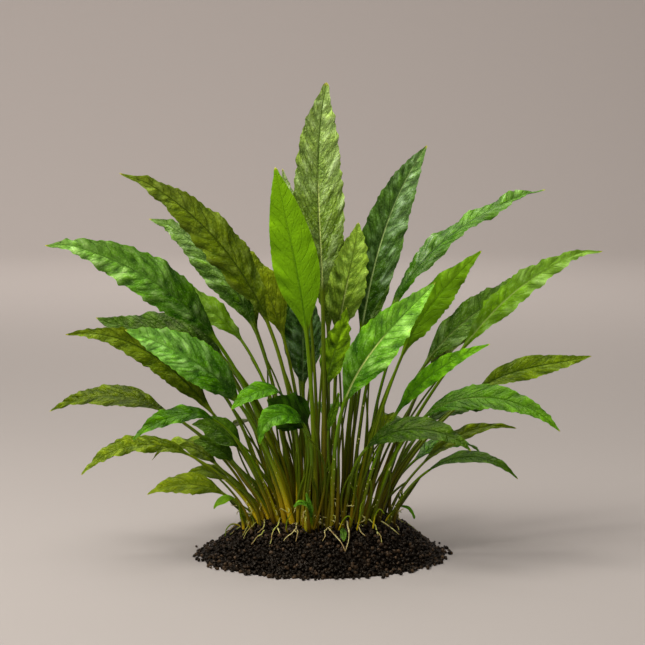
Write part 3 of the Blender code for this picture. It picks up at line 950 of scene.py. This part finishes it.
def soil_finish(name, settings, grain_attribute):
    """Black soil, a little browner and rougher from grain to grain; on the grains, the attribute also carries
    painted shade on the sunk ones.
    """
    finish = Finish(name)
    place = finish.position()
    fine = finish.noise(place, 2600.0, 3.0, 0.65)
    if grain_attribute:
        tone = finish.attribute(grain_attribute, "Fac")
    else:
        tone = finish.noise(place, 420.0, 2.0, 0.5) * 0.2
    lighter = tone * 0.75 + (fine - 0.5) * 0.7
    colour = finish.mix(lighter.clamped(), opaque(settings.black), opaque(settings.brown))
    return finish.finished({
        "Base Color": colour,
        "Roughness": 0.27 + (fine - 0.5) * 0.7,
        "Normal": finish.bump(fine, 0.16, 1.0),
        "Specular IOR Level": 0.15,
        "Specular Tint": (1.0, 0.82, 0.62, 1.0),
    })


def root_finish(name, settings):
    """Pale root skin: cream on some roots, yellow-green on others, and browner in places and at the end."""
    finish = Finish(name)
    share, green, _ = finish.parts(finish.attribute("root"))
    place = finish.position()
    patches = finish.noise(place, 180.0, 3.0, 0.6)
    colour = finish.mix(green, opaque(settings.colour), opaque(settings.colour, (0.62, 0.75, 0.3)))
    dark = opaque(settings.colour, (0.42, 0.30, 0.2))
    colour = finish.mix((patches + share * 0.22 - 0.15).smooth(0.40, 0.66), colour, dark)
    return finish.finished({
        "Base Color": colour,
        "Roughness": 0.5 + (patches - 0.5) * 0.3,
        "Normal": finish.bump(patches, 0.1, 0.5),
        "Subsurface Weight": 0.15,
        "Subsurface Radius": (1.0, 0.8, 0.3),
        "Subsurface Scale": 0.5 * MM,
    })


def shoot_finish(colours):
    """Young shoots and old sheaths: green above, yellow to brown at the foot, with painted shade and light
    from the light attribute, strongest at the foot.
    """
    finish = Finish("shoot_skin")
    tone, height, browned = finish.parts(finish.attribute("shoot"))
    light = finish.attribute("light", "Fac")
    place = finish.position()
    streaks = finish.noise(place, (900.0, 900.0, 60.0), 3.0, 0.6)
    fresh = opaque(colours.stalk, (1.7, 1.5, 1.2))
    green = finish.mix(streaks.smooth(0.3, 0.7), opaque(colours.stalk), fresh)
    colour = finish.mix((1 - height.smooth(0.05, 0.6)) * tone, green, opaque(colours.stalk_foot))
    brown = (1 - (height + streaks * 0.4).smooth(0.1, 0.55)) * browned
    colour = finish.mix(brown, colour, opaque(colours.stalk_brown))
    # painted shade and light: the light attribute darkens or lightens the colour, most at the foot
    colour = finish.times(colour, (light - 1) * (1 - height * 0.6) + 1)
    return finish.finished({
        "Base Color": colour,
        "Roughness": 0.38 + (streaks - 0.5) * 0.2,
        "Normal": finish.bump(streaks, 0.1, 0.5),
        "Specular IOR Level": 0.2,
        "Specular Tint": (0.95, 1.0, 0.4, 1.0),
    })


def tubes(name, routes, radii, material, sides, spacing):
    """Round strands joined in one mesh. Each route is a list of points, each with a radius at both ends.

    Comes with each corner's share of the way along its strand, and the number of that strand.
    """
    points, faces, shares, numbers = [], [], [], []
    angles = 2 * math.pi * np.arange(sides) / sides
    cosines, sines = np.cos(angles)[None, :, None], np.sin(angles)[None, :, None]
    for number, (route, (thick, thin)) in enumerate(zip(routes, radii)):
        line, along, _ = through(route, 120)
        rows = max(5, round(along[-1] / spacing))
        stops = np.linspace(0, along[-1], rows)
        placed = at_lengths(line, along, stops)
        travel = unit(np.gradient(placed, stops, axis=0))
        upper = carried(travel, np.array([0.3, -1.0, 0.2]), 0)
        across = np.cross(travel, upper)
        share = np.linspace(0, 1, rows)
        radius = thick + (thin - thick) * share**1.6
        ring = cosines * across[:, None] + sines * upper[:, None]
        faces += tube_faces(rows, sides, sum(len(group) for group in points))
        points.append((placed[:, None] + radius[:, None, None] * ring).reshape(-1, 3))
        shares.append(np.repeat(share, sides))
        numbers.append(np.full(rows * sides, number))
    made = new_object(name, np.concatenate(points), faces, material)
    return made, np.concatenate(shares), np.concatenate(numbers)


def kinked(path, rng, most):
    """The path with a point added in the middle of every leg, pushed aside by as much as most."""
    path = np.asarray(path, float)
    middles = (path[1:] + path[:-1]) / 2 + rng.uniform(-most, most, (len(path) - 1, path.shape[1]))
    bent = np.empty((2 * len(path) - 1, path.shape[1]))
    bent[::2], bent[1::2] = path, middles
    return bent


def on_soil(x, y, above):
    return (x, y, heap_height(x, y) + above)


def run(operator):
    """Calls an operator by its id, and stops the script if it didn't finish."""
    group, name = operator.split(".")
    if getattr(getattr(bpy.ops, group), name)() != {"FINISHED"}:
        raise RuntimeError(f"{operator} did not finish")


class Lamp(NamedTuple):
    """A soft rectangular lamp, in metres. Its power is among the settings."""

    place: tuple
    target: tuple
    size: tuple
    colour: tuple


CLUMP_MIDDLE = (0, 0, 0.1)
LAMPS = {
    "key": Lamp((-0.56, -0.33, 0.92), CLUMP_MIDDLE, (0.6, 0.6), (1.0, 0.985, 0.96)),
    "top": Lamp((-0.1, -0.05, 1.2), CLUMP_MIDDLE, (0.8, 0.8), (1.0, 0.99, 0.97)),
    "fill": Lamp((-0.1, -1.4, 0.7), CLUMP_MIDDLE, (1.2, 0.9), (1.0, 0.99, 0.98)),
    "wall": Lamp((-0.35, 1.5, 1.1), (-0.25, 2.5, 0.12), (2.0, 0.8), (1.0, 0.96, 0.945)),
    "back": Lamp((-0.2, 0.75, 1.5), (-0.2, 0.8, 0), (1.6, 1.0), (1.0, 0.97, 0.955)),
}


def put_up(context, name, data, place, facing):
    """A camera or a lamp at a place, that looks the way it faces."""
    made = bpy.data.objects.new(name, data)
    made.location = place
    made.rotation_mode = "QUATERNION"
    made.rotation_quaternion = facing.to_track_quat("-Z", "Y")
    context.collection.objects.link(made)
    return made


class CLUMP_OT_stage(Operator):
    """Puts up the camera, the lights and the paper sweep"""

    bl_idname = "clump.stage"
    bl_label = "Stage"

    def execute(self, context):
        settings = context.scene.clump_stage
        self.add_camera(context, settings)
        self.add_lights(context, settings)
        self.add_sweep(settings)
        context.scene.view_settings.view_transform = "Standard"
        return {"FINISHED"}

    def add_camera(self, context, settings):
        lens = bpy.data.cameras.new("camera")
        lens.sensor_width = 36.0
        lens.lens = lens.sensor_width * settings.distance / settings.field
        lens.clip_end = 20.0
        target = Vector((0, 0, settings.target_height))
        back = Vector((0, -math.cos(settings.elevation), math.sin(settings.elevation)))
        context.scene.camera = put_up(context, "camera", lens, target + back * settings.distance, -back)

    def add_lights(self, context, settings):
        for name, lamp in LAMPS.items():
            light = bpy.data.lights.new(f"{name}_light", "AREA")
            light.energy = getattr(settings, name)
            light.shape = "RECTANGLE"
            light.size, light.size_y = lamp.size
            light.color = lamp.colour
            facing = Vector(lamp.target) - Vector(lamp.place)
            put_up(context, light.name, light, lamp.place, facing).visible_camera = False
        room = bpy.data.worlds.new("room")
        room.use_nodes = True
        glow = room.node_tree.nodes["Background"]
        glow.inputs["Color"].default_value = opaque((1.0, 0.985, 0.97))
        glow.inputs["Strength"].default_value = settings.room
        context.scene.world = room

    def add_sweep(self, settings):
        """A wide round floor that curves up into a wall on all sides, so that no view misses it."""
        flat, bend, height = 2000.0, 900.0, 2400.0
        sectors, bend_rows = 96, 16
        profile = [(flat * share, 0.0) for share in (0.25, 0.5, 0.75, 1.0)]
        for i in range(1, bend_rows + 1):
            turn = math.pi / 2 * i / bend_rows
            profile.append((flat + bend * math.sin(turn), bend * (1 - math.cos(turn))))
        profile.append((flat + bend, height))
        turns = 2 * math.pi * np.arange(sectors) / sectors
        points = [(*polar(out, turn), z) for out, z in profile for turn in turns]
        inward = ring_quads(len(profile), sectors)[:, [0, 3, 2, 1]]
        finish = Finish("paper")
        material = finish.finished({
            "Base Color": opaque(settings.backdrop),
            "Roughness": 0.9,
            "Specular IOR Level": 0.1,
        })
        sweep = new_object("paper_sweep", points, [list(range(sectors)), *inward.tolist()], material)


class CLUMP_OT_leaves(Operator):
    """Grows a fine leaf along each leaf of the frame"""

    bl_idname = "clump.leaves"
    bl_label = "Leaves"

    def execute(self, context):
        settings, colours = context.scene.clump_leaves, context.scene.clump_colours
        finishes = {name: leaf_finish(name, colours) for name in SKINS}
        for number, name in enumerate(LEAF_NAMES, 1):
            habit = HABITS.get(name, REAR_HABIT)
            course = frame_course(frame["nodes"][name], habit, settings)
            slot_name = SLOTS[name]
            leaf = build_leaf(f"fine_{name}", course, habit, settings, slot_name, finishes[slot_name], number)
            in_scene(leaf, slot_name, name)
        return {"FINISHED"}


class CLUMP_OT_soil(Operator):
    """Lays the dark bed of the heap"""

    bl_idname = "clump.soil"
    bl_label = "Soil bed"

    def execute(self, context):
        settings = context.scene.clump_soil
        rings, sectors = 36, 96
        sunk, inset, rim = 1.7, 0.8, 0.3
        points, faces = [(0.0, 0.0, heap_height(0, 0) - sunk)], []
        for i in range(1, rings + 1):
            out = (SOIL_RADIUS - inset) * math.sin(math.pi / 2 * i / rings)
            for j in range(sectors):
                x, y = polar(out, 2 * math.pi * j / sectors)
                points.append((x, y, max(rim, heap_height(x, y) - sunk)))
        last, under = 1 + (rings - 1) * sectors, 2 + rings * sectors
        points += [(0.0, 0.0, 0.0), *((x, y, 0.0) for x, y, _ in points[last:])]
        for j in range(sectors):
            k = (j + 1) % sectors
            faces.append((0, 1 + j, 1 + k))
            for a in range(1, last, sectors):
                faces.append((a + j, a + sectors + j, a + sectors + k, a + k))
            faces.append((last + j, under + j, under + k, last + k))
            faces.append((under - 1, under + k, under + j))
        bed = new_object("soil_bed", points, faces, soil_finish("soil", settings, None))
        in_scene(bed, "soil", SOIL_NODE)
        return {"FINISHED"}


GRAIN_BANDS = ("soil_grains_front", "soil_grains_middle", "soil_grains_rear")
BAND_BORDERS = (-26.0, 12.0)  # from front to rear
GRAIN_SPREAD = 0.75  # how far a grain is moved aside, as a share of the way to the next
GRAIN_RISE = (-1.2, 0.6)  # least and most height of a grain's middle above the heap's surface
LOOSE_RISE = (0.4, 1.1)  # the same for the loose ones
LOOSE_AREA = (0.1, 0.97)  # the part of the heap that they lie on, from its middle outwards
STRAY_SPREAD, STRAY_MOST = 2.0, 6.0  # how far the strays lie from the heap's foot
GRAIN_PAINTED_SHADE = (-0.7, 0.4)  # the rise at which a grain is painted fully dark, as if shaded, and at which it is painted fully in the light
GRAIN_REST = 0.42  # least height of a grain's middle above the floor, as a share of its size
GRAIN_STRETCH = (0.78, 1.18)  # least and most length of a grain each way, as a share of its size
GRAIN_LUMP = 0.08  # how uneven a grain is, as a share of its size


class CLUMP_OT_grains(Operator):
    """Strews the grains over the heap"""

    bl_idname = "clump.grains"
    bl_label = "Soil grains"

    def execute(self, context):
        settings = context.scene.clump_soil
        rng = np.random.default_rng(11)
        places, sizes, grain_painted_light = self.places(settings, rng)
        material = soil_finish("soil_grain", settings, "grain_tone")
        bands = np.digitize(places[:, 1], BAND_BORDERS)
        for band, name in enumerate(GRAIN_BANDS):
            chosen = bands == band
            self.build(name, places[chosen], sizes[chosen], grain_painted_light[chosen], material, rng)
        return {"FINISHED"}

    def places(self, settings, rng):
        """Where each grain lies, how big it is, and how lit it is painted, from 0 for a sunk grain in painted
        shade to 1 for one that stands out of the heap.
        """
        def sizes(count):
            return rng.uniform(settings.grain_least / MM, settings.grain_most / MM, count)

        def turns(count):
            return rng.uniform(0, 2 * math.pi, count)

        count, loose, strays = settings.grains, settings.loose, settings.strays
        order = np.arange(count)
        out = (SOIL_RADIUS - 0.9) * np.sqrt((order + 0.5) / count)
        turn = order * math.pi * (3 - math.sqrt(5))  # the golden angle from each grain to the next
        x, y = polar(out, turn)
        spread = SOIL_RADIUS / math.sqrt(count) * GRAIN_SPREAD
        x = x + rng.uniform(-spread, spread, count)
        y = y + rng.uniform(-spread, spread, count)
        size = sizes(count)
        rise = rng.uniform(*GRAIN_RISE, count)
        batches = [(x, y, heap_height(x, y) + rise, size, rise)]

        x, y = polar(SOIL_RADIUS * np.sqrt(rng.uniform(*LOOSE_AREA, loose)), turns(loose))
        size = sizes(loose)
        height = heap_height(x, y) + rng.uniform(*LOOSE_RISE, loose)
        batches.append((x, y, height, size, np.full(loose, GRAIN_RISE[1])))

        out = SOIL_RADIUS - 0.5 + np.minimum(STRAY_MOST, abs(rng.normal(0, STRAY_SPREAD, strays)))
        x, y = polar(out, turns(strays))
        batches.append((x, y, np.zeros(strays), sizes(strays), np.full(strays, GRAIN_RISE[1])))

        x, y, z, size, rise = (np.concatenate(column) for column in zip(*batches))
        z = np.maximum(z, size * GRAIN_REST)
        return np.stack([x, y, z], axis=1), size, smoothstep(rise, *GRAIN_PAINTED_SHADE)

    def build(self, name, places, sizes, grain_painted_light, material, rng):
        """Lumpy grains, each a squashed and turned ball, joined in one mesh."""
        shape, triangles = ball(2, 0.5)
        count, corners = len(places), len(shape)
        stretch = rng.uniform(*GRAIN_STRETCH, (count, 1, 3))
        lumps = 1 + rng.normal(0, GRAIN_LUMP, (count, corners, 1))
        w, a, b, c = unit(rng.normal(0, 1, (count, 4))).T
        turn = np.array([
            [1 - 2 * (b * b + c * c), 2 * (a * b - w * c), 2 * (a * c + w * b)],
            [2 * (a * b + w * c), 1 - 2 * (a * a + c * c), 2 * (b * c - w * a)],
            [2 * (a * c - w * b), 2 * (b * c + w * a), 1 - 2 * (a * a + b * b)],
        ]).transpose(2, 0, 1)
        shaped = shape[None] * stretch * lumps * sizes[:, None, None]
        points = np.einsum("nij,nkj->nki", turn, shaped) + places[:, None]
        points[:, :, 2] = np.maximum(points[:, :, 2], 0.02)
        grains = new_object(name, points.reshape(-1, 3), copied(triangles, corners, count), material)
        grains.data.shade_flat()
        # the grain's own random brownness, darkened by painted shade on the sunk grains
        tone = (rng.uniform(0, 1, count) ** 4.5 + 0.03) * grain_painted_light**2.5
        paint(grains, "grain_tone", np.repeat(tone, corners))
        in_scene(grains, "soil")


ROOT_ABOVE = (0.9, 1.5)  # least and most height of a front root's middle above the soil
OTHERS_ABOVE = 1.1  # the same for the other roots and for the branches
REAR_START, REAR_TURN = -8, 196  # degrees, the part of the heap's round that the other roots take up
BRANCHED = 0.45  # share of the roots that have a branch
ROOT_ENDS, BRANCH_ENDS = (0.9, 0.4), (0.5, 0.3)  # thickness at both ends, as a share of a root's


class CLUMP_OT_roots(Operator):
    """Lays the pale roots over the soil"""

    bl_idname = "clump.roots"
    bl_label = "Roots"

    def execute(self, context):
        settings = context.scene.clump_roots
        rng = np.random.default_rng(5)
        thick = settings.diameter / 2 / MM
        routes, radii = [], []
        for path in FRONT_ROOTS:
            route = [on_soil(x, y, rng.uniform(*ROOT_ABOVE)) for x, y in kinked(path, rng, 0.8)]
            x, y, z = route[0]
            routes.append([(x * 0.94, y + 3.0, z - 2.5), *route])
            radii.append((thick * rng.uniform(0.8, 1.05), thick * ROOT_ENDS[1]))
        for i in range(settings.rear_roots):
            turn = math.radians(REAR_START + REAR_TURN * (i + 0.5) / settings.rear_roots)
            turn += rng.normal(0, 0.06)
            wander = rng.normal(0, 0.09)
            inner, reach = rng.uniform(30, 38), rng.uniform(8, 19)
            turns = [turn + wander * k + rng.normal(0, 0.02) for k in range(4)]
            routes.append([
                on_soil(*polar(inner + reach * k / 3, turn), OTHERS_ABOVE if k else -1.5)
                for k, turn in enumerate(turns)
            ])
            radii.append([thick * share for share in ROOT_ENDS])
        for route in [route for route in routes if rng.uniform() < BRANCHED]:
            x, y, z = route[rng.integers(2, len(route) - 1)]
            turn = math.atan2(y, x) + rng.choice((-1, 1)) * rng.uniform(0.5, 1.1)
            aside_x, aside_y = polar(rng.uniform(1.8, 5.0), turn)
            branch = kinked([(x, y), (x + aside_x, y + aside_y)], rng, 0.4)
            routes.append([(x, y, z), *(on_soil(*place, OTHERS_ABOVE) for place in branch[1:])])
            radii.append([thick * share for share in BRANCH_ENDS])
        roots, share, number = tubes("roots", routes, radii, root_finish("root_skin", settings), 8, 0.8)
        side = np.array([abs(route[0][0]) for route in routes])[number]
        green = smoothstep(side + 8 * np.sin(number * 2.1), 8.0, 30.0)
        paint(roots, "root", share, green, share)
        in_scene(roots, "leaf_yellowing")
        return {"FINISHED"}


def stalk_lines():
    """The line of every stalk of the frame, closely sampled, and how far along it each sample is."""
    stalks = [sections(frame["nodes"][name])[1:STALK_RINGS] for name in LEAF_NAMES]
    return [through(np.array([ring.mean(0) for ring in rings]), 60)[:2] for rings in stalks]


class CLUMP_OT_rootlets(Operator):
    """Grows short curled roots and pale nubs on the stalks"""

    bl_idname = "clump.rootlets"
    bl_label = "Rootlets"

    def execute(self, context):
        settings = context.scene.clump_roots
        rng = np.random.default_rng(41)
        front = sorted(stalk_lines(), key=lambda stalk: stalk[0][0][1])[:FRONT_STALKS]
        routes, radii = [], []
        for i in range(settings.rootlets):
            start = at_lengths(*front[i % len(front)], [rng.uniform(2.0, 9.0)])[0]
            turn = math.atan2(start[1], start[0]) + rng.normal(0, 0.6)
            travel = np.array([math.cos(turn) * 0.6, math.sin(turn), rng.uniform(-0.9, 0.4)])
            route = [start]
            for _ in range(rng.integers(4, 7)):
                travel = unit(travel + rng.normal(0, 0.55, 3) + (0.0, 0.0, -0.22))
                ahead = route[-1] + travel * rng.uniform(0.9, 1.7)
                ahead[2] = max(ahead[2], heap_height(*ahead[:2]) + 0.9)
                route.append(ahead)
            routes.append(route)
            radii.append((rng.uniform(0.26, 0.38), 0.14))
        finish = root_finish("rootlet_skin", settings)
        rootlets, share, number = tubes("rootlets", routes, radii, finish, 6, 0.6)
        paint(rootlets, "root", share, 0.35 + 0.65 * np.sin(number * 1.7) ** 2, share)
        in_scene(rootlets, "leaf_yellowing")
        self.add_nubs(settings, rng, front, finish)
        return {"FINISHED"}

    def add_nubs(self, settings, rng, stalks, finish):
        """Specks half sunk in the skin of the stalks."""
        shape, triangles = ball(1, 1.0)
        points = []
        for i in range(settings.nubs):
            line, along = stalks[i % len(stalks)]
            place = at_lengths(line, along, [along[-1] * rng.uniform(0.05, 0.6) ** 1.2])[0]
            turn = rng.uniform(-2.6, -0.5)
            size = rng.uniform(0.24, 0.42)
            place = place + np.array([*polar(1.0, turn), 0.0]) * rng.uniform(0.75, 1.0)
            points.append(place + shape * size * (1.0, 1.0, rng.uniform(1.0, 1.7)))
        faces = copied(triangles, len(shape), len(points))
        nubs = new_object("stalk_nubs", np.concatenate(points), faces, finish)
        plain = np.ones(len(points) * len(shape))
        paint(nubs, "root", plain * 0, plain * 0.4, plain)
        in_scene(nubs, "leaf_yellowing")


class CLUMP_OT_sprouts(Operator):
    """Grows the few small leaves and strands at the foot of the clump"""

    bl_idname = "clump.sprouts"
    bl_label = "Sprouts"

    def execute(self, context):
        settings, colours = context.scene.clump_leaves, context.scene.clump_colours
        upper = np.array([0.0, -0.6, 0.8])
        for number, (name, (slot_name, half, points)) in enumerate(SPROUTS.items(), 101):
            halves = [SPROUT_STALK, 0.45, 0.4, half * 0.8, half, half * 0.7, TIP_HALF]
            neck, widest, step, stalk_rows = 2, 4, 0.5, 8
            course = course_through(
                points, neck, widest, upper, halves, SPROUT_STALK, SPROUT_HABIT, step, stalk_rows,
            )
            finish = leaf_finish(slot_name, colours)
            in_scene(build_leaf(name, course, SPROUT_HABIT, settings, slot_name, finish, number), slot_name)
        radii = [(0.42, 0.2)] * len(STRANDS)
        strands, share, _ = tubes("strands", STRANDS, radii, shoot_finish(colours), 6, 0.8)
        paint(strands, "shoot", 0.5 + 0.4 * share, share, share * 0)
        # painted light: the strands are painted 1.5 times as light at the foot
        paint(strands, "light", np.full(len(share), 1.5))
        in_scene(strands, "leaf_olive")
        return {"FINISHED"}


SHOOT_REACH = (0.35, 0.97)  # least and most share of its stalk's height that a shoot climbs
SHOOT_ASIDE = (1.6, 4.2)  # how far from that stalk its foot stands
SHOOT_THICK, SHOOT_THIN = (0.5, 1.05), 0.42  # radius at the foot and at the tip
SHOOT_PAINTED_SHADE = (0.12, 0.7)  # painted shade: brightness against the stalks', darker for shoots in the shade between the stalks
SHOOT_SUNK = 2.0  # how deep its foot is in the soil


class CLUMP_OT_shoots(Operator):
    """Grows the young shoots between the stalks"""

    bl_idname = "clump.shoots"
    bl_label = "Shoots"

    def execute(self, context):
        settings = context.scene.clump_roots
        rng = np.random.default_rng(23)
        stalks = stalk_lines()
        climb = np.linspace(0, 1, 6)
        routes, radii, lights = [], [], []
        for i in range(settings.shoots):
            line, along = stalks[i % len(stalks)]
            reach = rng.uniform(*SHOOT_REACH)
            turn = rng.uniform(0, 2 * math.pi)
            aside = np.array([*polar(1.0, turn), 0.0]) * rng.uniform(*SHOOT_ASIDE)
            bend = np.array([rng.normal(0, 1.8), rng.normal(0, 1.4), 0.0])
            route = at_lengths(line, along, climb * along[-1] * reach)
            route += (1 - climb**2)[:, None] * aside + (climb * (1 - climb))[:, None] * 4 * bend
            route[0][2] = heap_height(*route[0][:2]) - SHOOT_SUNK
            routes.append(route)
            radii.append((rng.uniform(*SHOOT_THICK), SHOOT_THIN))
            # painted shade: the foot's painted light, times a darker share for a shoot between the stalks
            lights.append(foot_painted_light(route[0], 1.2) * rng.uniform(*SHOOT_PAINTED_SHADE))
        finish = shoot_finish(context.scene.clump_colours)
        shoots, share, number = tubes("young_shoots", routes, radii, finish, 8, 3.0)
        tone = 0.35 + 0.6 * np.sin(number * 1.9) ** 2
        paint(shoots, "shoot", tone, share, (np.sin(number * 2.7) > 0.45) * 0.9)
        paint(shoots, "light", np.array(lights)[number])
        in_scene(shoots, "leaf_olive")
        return {"FINISHED"}


class CLUMP_PT_panel(Panel):
    """Lists the clump's settings and the pieces that can be grown"""

    bl_label = "Cryptocoryne clump"
    bl_idname = "CLUMP_PT_panel"
    bl_space_type = "VIEW_3D"
    bl_region_type = "UI"
    bl_category = "Cryptocoryne"

    def draw(self, context):
        for name, (title, _) in SETTINGS.items():
            box = self.layout.box()
            box.label(text=title)
            settings = getattr(context.scene, name)
            for field in settings.bl_rna.properties:
                if field.identifier not in ("rna_type", "name"):
                    box.prop(settings, field.identifier)
        for step in STEPS:
            self.layout.operator(step.bl_idname)


STEPS = (
    CLUMP_OT_stage, CLUMP_OT_leaves, CLUMP_OT_soil, CLUMP_OT_grains, CLUMP_OT_roots, CLUMP_OT_rootlets,
    CLUMP_OT_sprouts, CLUMP_OT_shoots,
)
SETTINGS = {
    "clump_leaves": ("Leaves", LeafSettings),
    "clump_colours": ("Leaf colours", LeafColours),
    "clump_soil": ("Soil", SoilSettings),
    "clump_roots": ("Roots and shoots", RootSettings),
    "clump_stage": ("Stage", StageSettings),
}
CLASSES = (*(group for _, group in SETTINGS.values()), *STEPS, CLUMP_PT_panel)


def register():
    for group in CLASSES:
        bpy.utils.register_class(group)
    for name, (_, group) in SETTINGS.items():
        setattr(bpy.types.Scene, name, PointerProperty(type=group))


def unregister():
    for name in SETTINGS:
        delattr(bpy.types.Scene, name)
    for group in reversed(CLASSES):
        bpy.utils.unregister_class(group)


def main():
    register()
    for step in STEPS:
        run(step.bl_idname)


if __name__ == "__main__":
    main()
